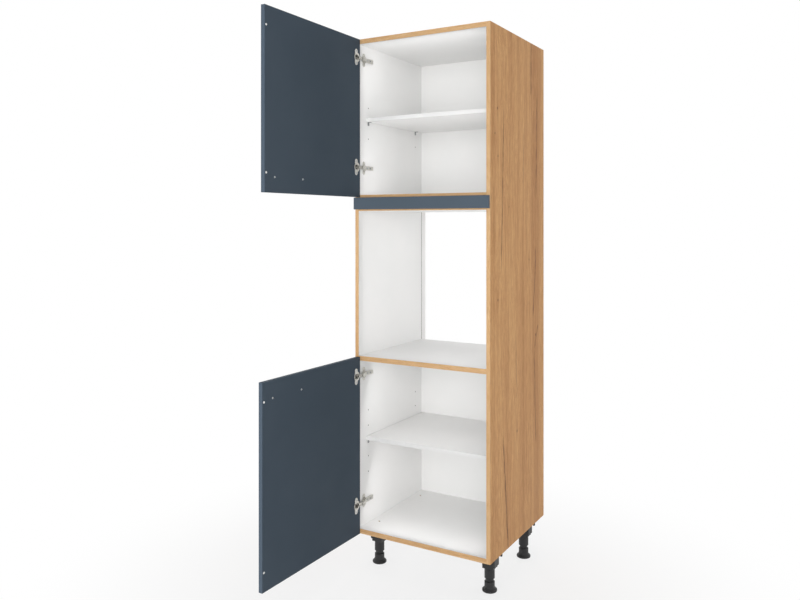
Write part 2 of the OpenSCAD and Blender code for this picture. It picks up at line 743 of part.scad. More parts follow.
// A fixed socket with its plate, its block and its sleeve, drawn for a foot on the right
module foot_socket() {
  block_z = bottom_z - foot_block_h;
  plate_z = bottom_z - foot_plate_t;
  pocket_x0 = foot_tube_r + socket_wall_t;
  pocket_x1 = foot_plate_out - socket_rim_w - socket_wall_t;
  difference() {
    union() {
      board([-foot_plate_in, -foot_plate_half_l, plate_z], [foot_plate_out, foot_plate_half_l, bottom_z]);
      board([-foot_plate_in + socket_rim_w, -foot_tube_r - socket_step_in, block_z + socket_step_h],
            [foot_plate_out - socket_rim_w, foot_tube_r + socket_step_in, bottom_z]);
      board([-foot_plate_in + socket_rim_w, -foot_tube_r, block_z],
            [foot_plate_out - socket_step_h, foot_tube_r, block_z + socket_step_h]);
      board([foot_plate_out - 2 * foot_boss_r, foot_plate_half_l - over, plate_z],
            [foot_plate_out, foot_boss_y, bottom_z]);
      translate([foot_plate_out - foot_boss_r, foot_boss_y, bottom_z - foot_boss_drop]) {
        cylinder(r = foot_boss_r, h = foot_boss_drop);
        translate([0, 0, -foot_rim_r])
          cylinder(r1 = foot_boss_r - foot_rim_r, r2 = foot_boss_r, h = foot_rim_r);
      }
      board([-socket_rib_half_t, -foot_plate_half_l + socket_wall_t, block_z + socket_rib_rise],
            [socket_rib_half_t, foot_plate_half_l - socket_wall_t, bottom_z]);
      translate([0, 0, sleeve_z + foot_rim_r]) cylinder(r = foot_tube_r, h = foot_sleeve_len - foot_rim_r);
      translate([0, 0, sleeve_z]) cylinder(r1 = foot_tube_r - foot_rim_r, r2 = foot_tube_r, h = foot_rim_r);
    }
    translate([0, 0, sleeve_z - over]) cylinder(r = stem_bore_r, h = foot_sleeve_len - foot_plate_t + over);
    translate([0, 0, sleeve_z]) cylinder(r = access_hole_r, h = foot_sleeve_len + over);
    // the block is open on its outer side, between its ribs
    board([pocket_x0, -foot_tube_r + socket_wall_t, block_z - over],
          [pocket_x1, -socket_wall_t / 2, plate_z]);
    board([pocket_x0, socket_wall_t / 2, block_z - over], [pocket_x1, foot_tube_r - socket_wall_t, plate_z]);
    // hole for the clip screw
    translate([clip_screw_x, 0, sleeve_z + clip_screw_rise]) rotate([90, 0, 0])
      cylinder(r = clip_screw_r, h = foot_tube_r + over);
    for (sx = [-1, 1], sy = [-1, 1])
      translate([socket_screw_x(1, sx), sy * socket_screw_y, plate_z - over])
        cylinder(r = socket_screw_r + fitting_clearance, h = foot_plate_t + 2 * over);
  }
}

module at_feet() {
  for (x = [-1, 1], y = [foot_front_y, foot_rear_y])
    translate([x * foot_x, y, 0]) mirror([x < 0 ? 1 : 0, 0, 0]) children();
}

module foot_sockets() {
  color(BLACK) at_feet() foot_socket();
}

module socket_screws() {
  color(ZINC) at_feet() for (sx = [-1, 1], sy = [-1, 1])
    translate([socket_screw_x(1, sx), sy * socket_screw_y, bottom_z - foot_plate_t]) {
      translate([0, 0, -socket_screw_head_t]) cylinder(r = socket_screw_head_r, h = socket_screw_head_t);
      cylinder(r = socket_screw_r, h = foot_plate_t + socket_screw_len - socket_screw_spare);
    }
}

// The part that turns up and down: stem, lower tube, flare and sole in one turned profile
module foot(side, y) {
  stem_top = foot_rim_h + foot_stem_len;
  edge_r = 3;
  neck_r = foot_sole_r - 4;
  neck_z = foot_sole_edge_h + 2.5;
  flare = [neck_r - foot_tube_r, foot_flare_h - neck_z];
  color(BLACK) translate([side * foot_x, y, 0]) difference() {
    rotate_extrude() polygon(concat(
      [[0, 0]],
      [for (a = [-90 : 15 : 0]) [foot_sole_r - edge_r + edge_r * cos(a), edge_r + edge_r * sin(a)]],
      [for (a = [0 : 15 : 90])
        [foot_sole_r - edge_r + edge_r * cos(a), foot_sole_edge_h - edge_r + edge_r * sin(a)]],
      [for (a = [-90 : -15 : -180]) [neck_r + flare.x * cos(a), foot_flare_h + flare.y * sin(a)]],
      [[foot_tube_r, foot_rim_h - foot_rim_r], [foot_tube_r - foot_rim_r, foot_rim_h],
       [foot_stem_r, foot_rim_h], [foot_stem_r, stem_top - foot_rim_r],
       [foot_stem_r - foot_rim_r, stem_top], [0, stem_top]]
    ));
    // slot for the screwdriver that reaches it through the access hole
    translate([-8, -1, stem_top - 3]) cube([16, 2, 3 + over]);
  }
}

module front_left_foot() {
  foot(-1, foot_front_y);
}

module front_right_foot() {
  foot(1, foot_front_y);
}

module rear_left_foot() {
  foot(-1, foot_rear_y);
}

module rear_right_foot() {
  foot(1, foot_rear_y);
}

// ---------- hinges: parts on the carcass ----------

// A slab centred on the hinge's middle height
module layer(half_h) {
  translate([0, 0, -half_h]) linear_extrude(2 * half_h) children();
}

// The same slab, above and below the hinge's middle only
module layer_pair(z0, z1) {
  for (i = [0, 1]) mirror([0, 0, i]) translate([0, 0, z0]) linear_extrude(z1 - z0) children();
}

module plate_screw_at(z) {
  translate([left_face, plate_line_y, z]) rotate([0, 90, 0]) children();
}

rail_top = left_face + plate_rail_h;
rail_half_h = arm_cheek_z0 - arm_clear;
saddle_gap = 0.3;
// Each arm screw: its distance from the carcass front, its radius and its head's radius
arm_screw_list = [
  [arm_fix_y, arm_fix_screw_r, arm_fix_head_r],
  [arm_adjust_y, arm_screw_r, arm_screw_head_r]
];

module hinge_plate() {
  difference() {
    union() {
      translate([left_face, plate_line_y, 0]) rotate([0, 90, 0]) linear_extrude(plate_wing_t) {
        square([plate_wing_h - plate_wing_w, plate_wing_w], center = true);
        for (i = [-1, 1]) translate([i * (plate_wing_h - plate_wing_w) / 2, 0])
          circle(d = plate_wing_w);
      }
      board([left_face, plate_rail_y0, -rail_half_h],
            [rail_top, plate_rail_y0 + plate_rail_len, rail_half_h]);
      for (i = [0, 1]) mirror([0, 0, i])
        board([left_face, plate_line_y - saddle_half_l, arm_half_h + saddle_gap],
              [left_face + saddle_rise, plate_line_y + saddle_half_l, saddle_half_h]);
    }
    for (i = [-1, 1]) plate_screw_at(i * plate_screw_spacing / 2)
      translate([0, 0, -over]) cylinder(r = plate_screw_r + fitting_clearance, h = plate_wing_t + 2 * over);
    for (s = arm_screw_list)
      translate([rail_top - arm_screw_depth, s.x, 0]) rotate([0, 90, 0])
        cylinder(r = s.y + fitting_clearance, h = arm_screw_depth + over);
    // weight-saving pocket under the rail
    board([left_face - over, plate_rail_y0 + 3, -rail_half_h + 2],
          [left_face + 2, plate_rail_y0 + plate_rail_len - 3, rail_half_h - 2]);
  }
}

module hinge_plates() {
  color(NICKEL) for (z = hinge_zs) translate([0, 0, z]) hinge_plate();
}

module plate_screws() {
  color(NICKEL) for (z = hinge_zs, i = [-1, 1])
    translate([0, 0, z]) plate_screw_at(i * plate_screw_spacing / 2) {
      translate([0, 0, plate_wing_t - plate_screw_len + 1])
        cylinder(r = plate_screw_r, h = plate_screw_len - 1);
      difference() {
        translate([0, 0, plate_wing_t])
          cylinder(r1 = plate_screw_head_r, r2 = plate_screw_head_r - 1, h = 1.8);
        for (a = [0, 90]) rotate([0, 0, a])
          translate([-2.2, -0.5, plate_wing_t + 0.8]) cube([4.4, 1, 2]);
      }
    }
}

// Side outline of the arm, seen from above: eyes round both pivots, and a tail over the rail
arm_eye_r = link_eye_r + hinge_layer_gap + arm_wall_t;
arm_top = rail_top + arm_clear + arm_wall_t;
arm_tail_x = left_face + 3.5;
module arm_outline() {
  a = outer_arm_pivot;
  b = inner_arm_pivot;
  translate(a) circle(r = arm_eye_r);
  translate(b) circle(r = arm_eye_r);
  polygon([
    a + [-arm_eye_r, 0], [arm_tail_x + 1.5, b.y], [arm_tail_x, plate_rail_y0 + 2],
    [arm_tail_x, arm_rear_y], [arm_top, arm_rear_y], [arm_top, plate_rail_y0 + 16],
    b + [arm_eye_r, 4], a + [arm_eye_r, 0]
  ]);
}

module hinge_arm() {
  difference() {
    layer(arm_half_h) arm_outline();
    // the inside of the channel: everything below the web
    translate([-arm_wall_t, 0, 0]) layer(arm_cheek_z0) {
      arm_outline();
      translate([left_face, plate_rail_y0]) square([arm_top - left_face, arm_rear_y]);
      translate([left_face, outer_arm_pivot.y - 2 * arm_eye_r])
        square([outer_arm_pivot.x - left_face + arm_eye_r, 2 * arm_eye_r]);
      translate(outer_arm_pivot - [0, 2 * arm_eye_r]) square([3 * arm_eye_r, 2 * arm_eye_r]);
    }
    for (p = [outer_arm_pivot, inner_arm_pivot])
      translate([p.x, p.y, -arm_half_h - over]) cylinder(r = pin_bore_r, h = 2 * arm_half_h + 2 * over);
    for (s = arm_screw_list)
      translate([arm_top - 2 * arm_wall_t, s.x, 0]) rotate([0, 90, 0])
        cylinder(r = s.y + 2 * fitting_clearance, h = 2 * arm_wall_t + over);
  }
}

module hinge_arms() {
  color(NICKEL) for (z = hinge_zs) translate([0, 0, z]) hinge_arm();
}

module arm_screws() {
  color(ZINC) for (z = hinge_zs, s = arm_screw_list)
    translate([arm_top, s.x, z]) rotate([0, 90, 0]) difference() {
      union() {
        cylinder(r = s.z, h = arm_screw_head_t);
        translate([0, 0, -arm_screw_depth]) cylinder(r = s.y, h = arm_screw_depth);
      }
      if (s.x == arm_fix_y)
        translate([0, 0, arm_screw_head_t - arm_fix_socket_depth])
          cylinder(r = arm_fix_socket_r, h = arm_fix_socket_depth + over);
      else for (a = [0, 90])
        rotate([0, 0, a]) translate([-2, -0.5, 0.6]) cube([4, 1, 2]);
    }
}

module arm_pins() {
  color(ZINC) for (z = hinge_zs, p = [outer_arm_pivot, inner_arm_pivot])
    translate([p.x, p.y, z - arm_half_h - 0.3]) cylinder(r = hinge_pin_r, h = 2 * arm_half_h + 0.6);
}

// ---------- hinges: links ----------

module bar_2d(p, q, w) {
  translate(p) rotate(heading(q - p)) translate([0, -w / 2]) square([norm(q - p), w]);
}

// A link's outline from its cup pivot at the origin to its arm pivot on +X
module link_outline(len, neck, w, tip_r) {
  bar_2d([0, 0], [neck.x, -neck.y], w);
  bar_2d([neck.x, -neck.y], [len, 0], w);
  translate([neck.x, -neck.y]) circle(d = w);
  circle(r = tip_r);
  translate([len, 0]) circle(r = link_eye_r);
}

module link_bores(len) {
  for (x = [0, len]) translate([x, 0, -arm_half_h]) cylinder(r = pin_bore_r, h = 2 * arm_half_h);
}

// Outer link: two cheeks, joined by a half barrel on the side that the inner link never reaches
module outer_link() {
  difference() {
    union() {
      layer_pair(outer_cheek_z0, outer_cheek_z1)
        link_outline(outer_link_len, outer_neck, outer_link_w, link_eye_r);
      layer(outer_cheek_z1) difference() {
        translate([outer_link_len, 0]) circle(r = link_eye_r);
        translate([0, -0.4]) square([2 * outer_link_len, 2 * link_eye_r]);
      }
    }
    link_bores(outer_link_len);
  }
}

module inner_link() {
  difference() {
    layer(inner_link_half_t)
      link_outline(inner_link_len, inner_neck, inner_link_w, inner_tip_r);
    link_bores(inner_link_len);
  }
}

module outer_links(zs, open) {
  tip = outer_tip(open);
  color(NICKEL) for (z = zs)
    translate([tip.x, tip.y, z]) rotate(outer_a(open) + 180) outer_link();
}

module inner_links(zs, open) {
  tip = inner_tip(open);
  color(NICKEL) for (z = zs)
    translate([tip.x, tip.y, z]) rotate(inner_a(open) + 180) inner_link();
}

module upper_outer_links() {
  outer_links(upper_hinge_zs, upper_door_angle);
}

module upper_inner_links() {
  inner_links(upper_hinge_zs, upper_door_angle);
}

module lower_outer_links() {
  outer_links(lower_hinge_zs, lower_door_angle);
}

module lower_inner_links() {
  inner_links(lower_hinge_zs, lower_door_angle);
}

// ---------- doors, drawn closed and then swung open ----------

module swing(open) {
  tip = outer_tip(open);
  translate([tip.x, tip.y, 0]) rotate([0, 0, -open])
    translate([-outer_cup_closed.x, -outer_cup_closed.y, 0]) children();
}

module from_inner_face(x, z) {
  translate([x, door_inner_y, z]) rotate([90, 0, 0]) children();
}

module door(z, h, hinges, handle_z) {
  difference() {
    board([door_left, door_inner_y - door_t, z], [door_left + front_w, door_inner_y, z + h]);
    for (hz = hinges) {
      from_inner_face(cup_centre.x, hz) translate([0, 0, -over])
        cylinder(r = cup_bore_r, h = cup_bore_depth + over);
      for (i = [-1, 1])
        from_inner_face(cup_centre.x + cup_screw_offset, hz + i * cup_screw_spacing / 2)
          translate([0, 0, -over]) cylinder(r = cup_screw_r + fitting_clearance, h = cup_screw_len + over);
    }
    for (x = [handle_x0, handle_x1])
      from_inner_face(x, handle_z) translate([0, 0, -over])
        cylinder(r = handle_hole_r, h = door_t + 2 * over);
  }
}

module upper_door() {
  color(SLATE) swing(upper_door_angle) door(upper_door_z, upper_door_h, upper_hinge_zs, upper_handle_z);
}

module lower_door() {
  color(SLATE) swing(lower_door_angle) door(lower_door_z, lower_door_h, lower_hinge_zs, lower_handle_z);
}

// The flange's outline: a disc round the cup and a bar with round ends for the screws
module flange_outline() {
  ear = cup_flange_h - cup_ear_w;
  circle(r = cup_r + 1.6);
  translate([cup_screw_offset, 0]) square([cup_ear_w, ear], center = true);
  for (i = [-1, 1]) translate([cup_screw_offset, i * ear / 2]) circle(d = cup_ear_w);
}

module hinge_cup(z) {
  pocket_x0 = -15.7;
  pocket_x1 = 14;
  recess_x0 = -16.3;
  rim_notch = 19.5;
  difference() {
    from_inner_face(cup_centre.x, z) {
      cylinder(r = cup_r, h = cup_depth);
      translate([0, 0, -cup_flange_t]) linear_extrude(cup_flange_t) flange_outline();
    }
    // pocket for the links, and the notch in the flange that they swing through
    translate([cup_centre.x + pocket_x0, door_inner_y - cup_depth + cup_floor_t, z - cup_pocket_half_h])
      cube([pocket_x1 - pocket_x0, cup_depth + cup_flange_t, 2 * cup_pocket_half_h]);
    translate([cup_centre.x + cup_well_x0, door_inner_y - cup_depth + cup_floor_t, z - cup_well_half_h])
      cube([cup_well_x1 - cup_well_x0, cup_depth + cup_flange_t, 2 * cup_well_half_h]);
    // a deeper recess at the pocket's end, where the inner link's tip swings
    translate([cup_centre.x + recess_x0, door_inner_y - cup_depth + cup_floor_t, z - outer_cheek_z0])
      cube([pocket_x0 - recess_x0 + over, cup_depth, 2 * outer_cheek_z0]);
    translate([cup_centre.x - rim_notch, door_inner_y, z - cup_pocket_half_h])
      cube([rim_notch, cup_flange_t + over, 2 * cup_pocket_half_h]);
    for (p = [outer_cup_closed, inner_cup_closed])
      translate([p.x, p.y, z - cup_pin_end_z - fitting_clearance])
        cylinder(r = pin_bore_r, h = 2 * (cup_pin_end_z + fitting_clearance));
    for (i = [-1, 1])
      from_inner_face(cup_centre.x + cup_screw_offset, z + i * cup_screw_spacing / 2)
        translate([0, 0, -cup_flange_t - over])
          cylinder(r = cup_screw_r + fitting_clearance, h = cup_flange_t + 2 * over);
  }
}

// Pivot pins of the outer link run through its cheeks. The inner link's pins stop short
// of it, so that the linkage is open at this pivot.
module cup_pins(zs) {
  for (z = zs, i = [0, 1]) translate([0, 0, z]) mirror([0, 0, i]) {
    translate([outer_cup_closed.x, outer_cup_closed.y, inner_link_half_t + hinge_layer_gap / 2])
      cylinder(r = hinge_pin_r, h = cup_pin_end_z - inner_link_half_t - hinge_layer_gap / 2);
    translate([inner_cup_closed.x, inner_cup_closed.y, open_pin_z0])
      cylinder(r = hinge_pin_r, h = cup_pin_end_z - open_pin_z0);
  }
}

module cup_screws(zs) {
  for (z = zs, i = [-1, 1])
    from_inner_face(cup_centre.x + cup_screw_offset, z + i * cup_screw_spacing / 2) {
      cylinder(r = cup_screw_r, h = cup_screw_len - 1);
      translate([0, 0, -cup_flange_t]) cylinder(r = cup_screw_r, h = cup_flange_t);
      difference() {
        translate([0, 0, -cup_flange_t - 1.4])
          cylinder(r1 = cup_screw_head_r - 0.8, r2 = cup_screw_head_r, h = 1.4);
        for (a = [0, 90]) rotate([0, 0, a])
          translate([-2, -0.4, -cup_flange_t - 1.4 - over]) cube([4, 0.8, over + 0.9]);
      }
    }
}

module upper_cups() {
  color(NICKEL) swing(upper_door_angle) for (z = upper_hinge_zs) hinge_cup(z);
}

module lower_cups() {
  color(NICKEL) swing(lower_door_angle) for (z = lower_hinge_zs) hinge_cup(z);
}

module upper_cup_pins() {
  color(ZINC) swing(upper_door_angle) cup_pins(upper_hinge_zs);
}

module lower_cup_pins() {
  color(ZINC) swing(lower_door_angle) cup_pins(lower_hinge_zs);
}

module upper_cup_screws() {
  color(ZINC) swing(upper_door_angle) cup_screws(upper_hinge_zs);
}

module lower_cup_screws() {
  color(ZINC) swing(lower_door_angle) cup_screws(lower_hinge_zs);
}

module bumpers(z, h) {
  for (bz = [z + bumper_end_inset, z + h - bumper_end_inset])
    translate([bumper_x, door_inner_y, bz]) rotate([-90, 0, 0]) {
      cylinder(r = bumper_r, h = bumper_t / 2);
      translate([0, 0, bumper_t / 2]) cylinder(r1 = bumper_r, r2 = bumper_r - 1, h = bumper_t / 2);
    }
}

module upper_bumpers() {
  color(WHITE) swing(upper_door_angle) bumpers(upper_door_z, upper_door_h);
}

module lower_bumpers() {
  color(WHITE) swing(lower_door_angle) bumpers(lower_door_z, lower_door_h);
}

// Bow handle: an arc of flat bar between two round feet, on the door's outer face
bow_r = (handle_spacing * handle_spacing / 4 + handle_rise * handle_rise) / (2 * handle_rise);
bow_a = asin(handle_spacing / 2 / bow_r);

module handle(z) {
  outer_y = door_inner_y - door_t;
  difference() {
    translate([(handle_x0 + handle_x1) / 2, outer_y, z]) {
      translate([0, bow_r - handle_rise - handle_foot_h + handle_section_t / 2, 0])
        rotate([0, 0, -90 - bow_a]) rotate_extrude(angle = 2 * bow_a, $fn = 128)
          translate([bow_r, 0]) square([handle_section_t, handle_section_w], center = true);
      for (i = [-1, 1]) translate([i * handle_spacing / 2, 0, 0]) rotate([90, 0, 0])
        cylinder(r = handle_foot_r, h = handle_foot_h);
    }
    for (x = [handle_x0, handle_x1]) translate([x, outer_y + over, z]) rotate([90, 0, 0])
      cylinder(r = handle_screw_r + fitting_clearance, h = handle_screw_grip + over);
  }
}

module handle_screws(z) {
  for (x = [handle_x0, handle_x1]) from_inner_face(x, z) {
    cylinder(r = handle_screw_r, h = door_t + handle_screw_grip - 1);
    difference() {
      translate([0, 0, -2]) cylinder(r1 = handle_screw_head_r - 1, r2 = handle_screw_head_r, h = 2);
      for (a = [0, 90]) rotate([0, 0, a]) translate([-2, -0.5, -3]) cube([4, 1, 2]);
    }
  }
}

module upper_handle() {
  color(NICKEL) swing(upper_door_angle) handle(upper_handle_z);
}

module lower_handle() {
  color(NICKEL) swing(lower_door_angle) handle(lower_handle_z);
}

module upper_handle_screws() {
  color(ZINC) swing(upper_door_angle) handle_screws(upper_handle_z);
}

module lower_handle_screws() {
  color(ZINC) swing(lower_door_angle) handle_screws(lower_handle_z);
}

left_side();
right_side();
top_panel();
upper_floor();
niche_top();
niche_floor();
bottom_panel();
side_edging();
panel_edging();
upper_back();
lower_back();
upper_shelf();
lower_shelf();
upper_shelf_supports();
lower_shelf_supports();
fascia_strip();
fascia_brackets();
fascia_screws();
dowels();
cams();
cam_bolts();
back_screws();
foot_sockets();
socket_screws();
front_left_foot();
front_right_foot();
rear_left_foot();
rear_right_foot();
hinge_plates();
plate_screws();
hinge_arms();
arm_screws();
arm_pins();
upper_outer_links();
upper_inner_links();
lower_outer_links();
lower_inner_links();
upper_door();
lower_door();
upper_cups();
lower_cups();
upper_cup_pins();
lower_cup_pins();
upper_cup_screws();
lower_cup_screws();
upper_bumpers();
lower_bumpers();
upper_handle();
lower_handle();
upper_handle_screws();
lower_handle_screws();
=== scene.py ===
import json
import math

import bpy
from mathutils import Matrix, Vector


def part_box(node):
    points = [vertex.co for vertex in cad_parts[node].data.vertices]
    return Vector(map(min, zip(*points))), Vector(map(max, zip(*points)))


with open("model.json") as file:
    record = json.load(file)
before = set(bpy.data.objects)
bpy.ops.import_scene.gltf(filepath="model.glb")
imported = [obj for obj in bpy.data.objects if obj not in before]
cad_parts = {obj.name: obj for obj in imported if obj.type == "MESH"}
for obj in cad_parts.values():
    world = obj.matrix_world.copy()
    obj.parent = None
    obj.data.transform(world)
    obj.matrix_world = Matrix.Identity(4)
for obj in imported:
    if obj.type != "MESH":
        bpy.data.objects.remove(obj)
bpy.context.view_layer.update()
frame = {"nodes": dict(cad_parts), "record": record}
nodes = frame["nodes"]
slots = {row["node"]: row["material_slot"] for row in frame["record"]["subparts"]}


# ---------- small helpers for node trees ----------

def shown(red, green, blue):
    """A colour as the screen shows it, 0 to 255, as the shader wants it."""
    def linear(value):
        value /= 255
        return value / 12.92 if value <= 0.04045 else ((value + 0.055) / 1.055) ** 2.4
    return (linear(red), linear(green), linear(blue), 1.0)


def add(tree, kind, inputs=None, **settings):
    """A shader node with its settings; an input is a plain value or another node's output."""
    made = tree.nodes.new("ShaderNode" + kind)
    for name, value in settings.items():
        setattr(made, name, value)
    for name, value in (inputs or {}).items():
        if isinstance(value, bpy.types.NodeSocket):
            tree.links.new(value, made.inputs[name])
        else:
            made.inputs[name].default_value = value
    return made


def math_node(tree, operation, first, second=0.0, third=0.0, clamp=False):
    """One sum on two values; MULTIPLY_ADD also takes a third, which it adds."""
    inputs = {0: first, 1: second}
    if operation == "MULTIPLY_ADD":
        inputs[2] = third
    return add(tree, "Math", inputs, operation=operation, use_clamp=clamp).outputs[0]


def ramp(tree, value, low, high, to_low=0.0, to_high=1.0, smooth=True):
    """Turns a value between low and high into one between to_low and to_high."""
    made = add(tree, "MapRange", {
        "Value": value, "From Min": low, "From Max": high, "To Min": to_low, "To Max": to_high,
    }, interpolation_type="SMOOTHSTEP" if smooth else "LINEAR")
    return made.outputs["Result"]


def blend_colors(tree, factor, first, second):
    """The first colour where factor is 0, the second where it is 1."""
    made = add(tree, "Mix", data_type="RGBA")
    for index, value in ((0, factor), (6, first), (7, second)):
        if isinstance(value, bpy.types.NodeSocket):
            tree.links.new(value, made.inputs[index])
        else:
            made.inputs[index].default_value = value
    return made.outputs[2]


def noise(tree, vector, scale, detail=2.0, roughness=0.5, distortion=0.0):
    return add(tree, "TexNoise", {
        "Vector": vector, "Scale": scale, "Detail": detail,
        "Roughness": roughness, "Distortion": distortion,
    }).outputs["Fac"]


def stretched(tree, vector, scale):
    """A vector multiplied axis by axis, so that a pattern is drawn out along one of them."""
    return add(tree, "VectorMath", {0: vector, 1: scale}, operation="MULTIPLY").outputs[0]


def new_group(name, inputs, outputs):
    """A shader node group with named sockets, and its input and output nodes."""
    tree = bpy.data.node_groups.new(name, "ShaderNodeTree")
    kinds = {"value": "NodeSocketFloat", "vector": "NodeSocketVector", "color": "NodeSocketColor"}
    for label, kind, value in inputs:
        socket = tree.interface.new_socket(label, in_out="INPUT", socket_type=kinds[kind])
        if value is not None:
            socket.default_value = value
    for label, kind in outputs:
        tree.interface.new_socket(label, in_out="OUTPUT", socket_type=kinds[kind])
    return tree, tree.nodes.new("NodeGroupInput"), tree.nodes.new("NodeGroupOutput")


def use_group(tree, group_tree, inputs):
    """Places a shared effect in a material, with its own values or links."""
    made = tree.nodes.new("ShaderNodeGroup")
    made.node_tree = group_tree
    for name, value in inputs.items():
        if isinstance(value, bpy.types.NodeSocket):
            tree.links.new(value, made.inputs[name])
        else:
            made.inputs[name].default_value = value
    return made


# ---------- effects that several finishes share ----------

def build_oak_grain():
    """Oak decor: the grain runs along Z of the vector that comes in, in metres."""
    tree, source, target = new_group("oak_grain", [
        ("Vector", "vector", None), ("Light", "color", None), ("Middle", "color", None),
        ("Dark", "color", None), ("Pores", "value", 1.0),
    ], [("Color", "color"), ("Roughness", "value"), ("Height", "value")])
    at = source.outputs["Vector"]
    # broad stave-like bands, then growth rings, then fibres
    bands = noise(tree, stretched(tree, at, (17.0, 17.0, 0.45)), 1.0, 3.0, 0.55, 0.4)
    flow = noise(tree, stretched(tree, at, (3.0, 3.0, 1.1)), 1.0, 2.0)
    bent = add(tree, "VectorMath", {
        0: at, 1: add(tree, "CombineXYZ", {
            "X": math_node(tree, "MULTIPLY", flow, 0.13),
            "Y": math_node(tree, "MULTIPLY", flow, 0.13), "Z": 0.0}).outputs[0],
    }, operation="ADD").outputs[0]
    rings = noise(tree, stretched(tree, bent, (56.0, 56.0, 1.5)), 1.0, 4.0, 0.55, 0.5)
    flecks = noise(tree, stretched(tree, bent, (190.0, 190.0, 20.0)), 1.0, 3.0, 0.6)
    fibres = noise(tree, stretched(tree, bent, (520.0, 520.0, 14.0)), 1.0, 5.0, 0.65)
    # short open pores and a few longer dark streaks
    pore_field = noise(tree, stretched(tree, bent, (1100.0, 1100.0, 42.0)), 1.0, 2.0, 0.5)
    pores = ramp(tree, pore_field, 0.60, 0.70)
    streak_field = noise(tree, stretched(tree, bent, (150.0, 150.0, 5.0)), 1.0, 2.0, 0.5)
    streaks = ramp(tree, streak_field, 0.67, 0.78)
    tone = math_node(tree, "MULTIPLY_ADD", ramp(tree, bands, 0.32, 0.68), 0.38,
                     math_node(tree, "MULTIPLY", ramp(tree, rings, 0.32, 0.68), 0.34))
    tone = math_node(tree, "MULTIPLY_ADD", ramp(tree, flecks, 0.34, 0.66), 0.32, tone)
    plain = blend_colors(tree, ramp(tree, tone, 0.0, 0.55), source.outputs["Light"],
                         source.outputs["Middle"])
    warm = blend_colors(tree, ramp(tree, tone, 0.45, 1.0, 0.0, 0.75), plain,
                        source.outputs["Dark"])
    fibred = blend_colors(tree, ramp(tree, fibres, 0.38, 0.68, 0.0, 0.46), warm,
                          source.outputs["Dark"])
    marked = math_node(tree, "ADD", math_node(tree, "MULTIPLY", pores, 0.40),
                       math_node(tree, "MULTIPLY", streaks, 0.38), clamp=True)
    marked = math_node(tree, "MULTIPLY", marked, source.outputs["Pores"])
    pore_color = blend_colors(tree, 0.62, source.outputs["Dark"], (0.05, 0.022, 0.008, 1.0))
    color = blend_colors(tree, marked, fibred, pore_color)
    tree.links.new(color, target.inputs["Color"])
    tree.links.new(ramp(tree, marked, 0.0, 1.0, 0.47, 0.66), target.inputs["Roughness"])
    height = math_node(tree, "SUBTRACT", math_node(tree, "MULTIPLY", fibres, 0.35), marked)
    tree.links.new(height, target.inputs["Height"])
    return tree


def build_split():
    """A shake in the grain: a ragged line between two points given as depth and height."""
    tree, source, target = new_group("split", [
        ("Vector", "vector", None), ("Low Depth", "value", 0.0), ("High Depth", "value", 0.0),
        ("Low", "value", 0.0), ("High", "value", 1.0), ("Half Width", "value", 0.001),
    ], [("Mask", "value"), ("Halo", "value")])
    place = add(tree, "SeparateXYZ", {0: source.outputs["Vector"]})
    along = ramp(tree, place.outputs["Z"], source.outputs["Low"], source.outputs["High"],
                 source.outputs["Low Depth"], source.outputs["High Depth"], smooth=False)
    wander = noise(tree, stretched(tree, source.outputs["Vector"], (0.0, 0.0, 11.0)), 1.0, 4.0)
    off = math_node(tree, "MULTIPLY_ADD", wander, 0.016, -0.008)
    line = math_node(tree, "SUBTRACT", place.outputs["Y"], along)
    line = math_node(tree, "ABSOLUTE", math_node(tree, "SUBTRACT", line, off))
    ragged = noise(tree, stretched(tree, source.outputs["Vector"], (0.0, 90.0, 26.0)), 1.0, 3.0)
    width = math_node(tree, "MULTIPLY", source.outputs["Half Width"],
                      ramp(tree, ragged, 0.3, 0.7, 0.35, 1.5))
    middle = math_node(tree, "MULTIPLY", math_node(
        tree, "ADD", source.outputs["Low"], source.outputs["High"]), 0.5)
    half = math_node(tree, "MULTIPLY", math_node(
        tree, "SUBTRACT", source.outputs["High"], source.outputs["Low"]), 0.5)
    away = math_node(tree, "DIVIDE", math_node(
        tree, "ABSOLUTE", math_node(tree, "SUBTRACT", place.outputs["Z"], middle)), half)
    width = math_node(tree, "MULTIPLY", width, ramp(tree, away, 0.70, 1.0, 1.0, 0.0))
    inside = math_node(tree, "DIVIDE", line, math_node(tree, "MAXIMUM", width, 0.00001))
    tree.links.new(ramp(tree, inside, 0.5, 1.5, 1.0, 0.0), target.inputs["Mask"])
    tree.links.new(ramp(tree, inside, 1.0, 6.0, 1.0, 0.0), target.inputs["Halo"])
    return tree


def build_knot():
    """A pin knot, with the grain darkened above and below it."""
    tree, source, target = new_group("knot", [
        ("Vector", "vector", None), ("Depth", "value", 0.0), ("Height", "value", 0.0),
        ("Size", "value", 0.004),
    ], [("Mask", "value"), ("Halo", "value")])
    place = add(tree, "SeparateXYZ", {0: source.outputs["Vector"]})
    off_y = math_node(tree, "SUBTRACT", place.outputs["Y"], source.outputs["Depth"])
    off_z = math_node(tree, "SUBTRACT", place.outputs["Z"], source.outputs["Height"])
    for flatten, low, high, name in ((0.7, 0.5, 1.1, "Mask"), (0.16, 0.3, 2.6, "Halo")):
        away = add(tree, "VectorMath", {0: add(tree, "CombineXYZ", {
            "X": off_y, "Y": math_node(tree, "MULTIPLY", off_z, flatten)}).outputs[0]},
            operation="LENGTH").outputs["Value"]
        away = math_node(tree, "DIVIDE", away, source.outputs["Size"])
        tree.links.new(ramp(tree, away, low, high, 1.0, 0.0), target.inputs[name])
    return tree


